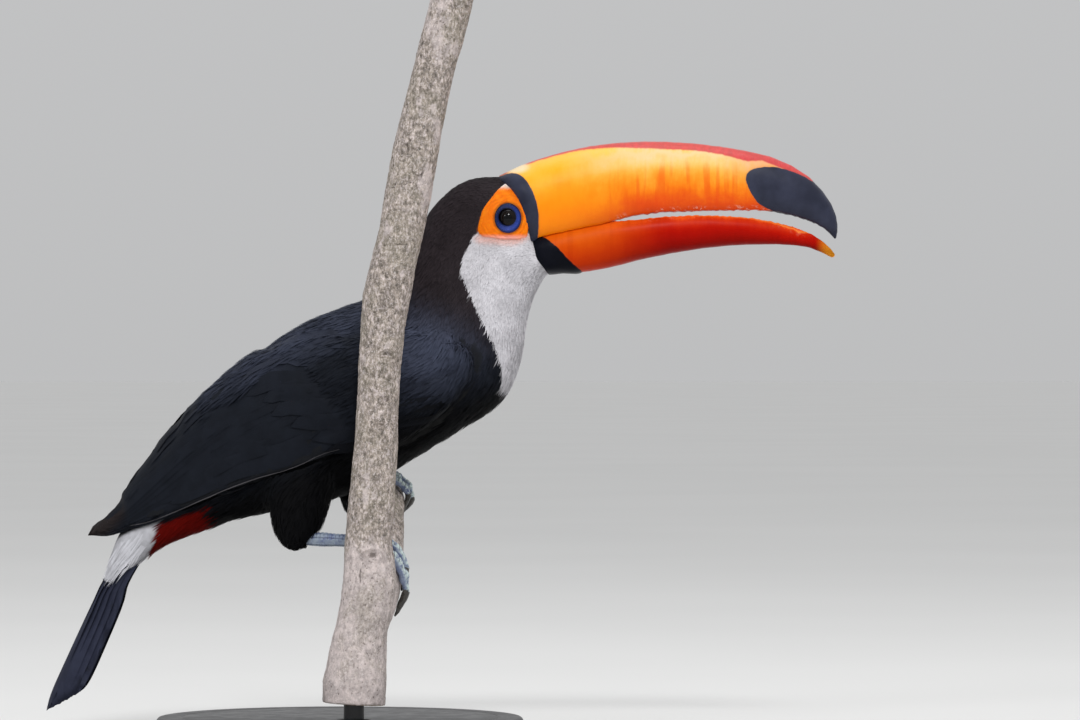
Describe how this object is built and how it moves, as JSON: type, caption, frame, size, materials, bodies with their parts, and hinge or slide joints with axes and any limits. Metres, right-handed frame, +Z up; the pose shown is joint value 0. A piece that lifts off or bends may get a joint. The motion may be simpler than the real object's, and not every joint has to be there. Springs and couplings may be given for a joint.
{
  "type": "toco toucan model on a perch",
  "caption": "Still life-size toco toucan with folded wings and parted bill, gripping a cut forked stem on a plain round display stand.",
  "frame": {"origin": "centre of the display base's underside", "axes": "+X forward along the bird, bill towards +X; +Y to the bird's left; +Z up"},
  "size_m": [0.4732, 0.22, 0.449],
  "materials": {
    "head_plumage": "short silky brownish black feathers",
    "bib_plumage": "soft off-white throat feathers, black behind",
    "black_plumage": "soft black feathers with a faint slate sheen",
    "wing_feathers": "black flight feathers and coverts, faint slate sheen",
    "tail_coverts": "loose white feathers above, deep red below",
    "tail_feathers": "slate black tail feathers",
    "bill_orange": "waxy horn, orange to yellow, black base band and tip patch",
    "bill_red": "waxy horn, orange-red to deep red, black base",
    "eye": "wet black eye",
    "leg_skin": "scaly blue-grey skin",
    "claw": "dark horn",
    "bark": "pale speckled bark with cut ends",
    "stand": "satin black"
  },
  "bodies": {
    "root": {"head": "head_plumage", "bill_upper": "bill_orange", "bill_lower": "bill_red", "neck": "bib_plumage", "trunk": "black_plumage", "tail_coverts": "tail_coverts", "tail": "tail_feathers", "eye_right": "eye", "wing_right": "wing_feathers", "thigh_right": "black_plumage", "shank_right": "leg_skin", "toe_1_right": "leg_skin", "claw_1_right": "claw", "toe_2_right": "leg_skin", "claw_2_right": "claw", "toe_3_right": "leg_skin", "claw_3_right": "claw", "toe_4_right": "leg_skin", "claw_4_right": "claw", "eye_left": "eye", "wing_left": "wing_feathers", "thigh_left": "black_plumage", "shank_left": "leg_skin", "toe_1_left": "leg_skin", "claw_1_left": "claw", "toe_2_left": "leg_skin", "claw_2_left": "claw", "toe_3_left": "leg_skin", "claw_3_left": "claw", "toe_4_left": "leg_skin", "claw_4_left": "claw", "perch_stem": "bark", "perch_branch": "bark", "stand_rod": "stand", "stand_base": "stand"}
  },
  "joints": []
}
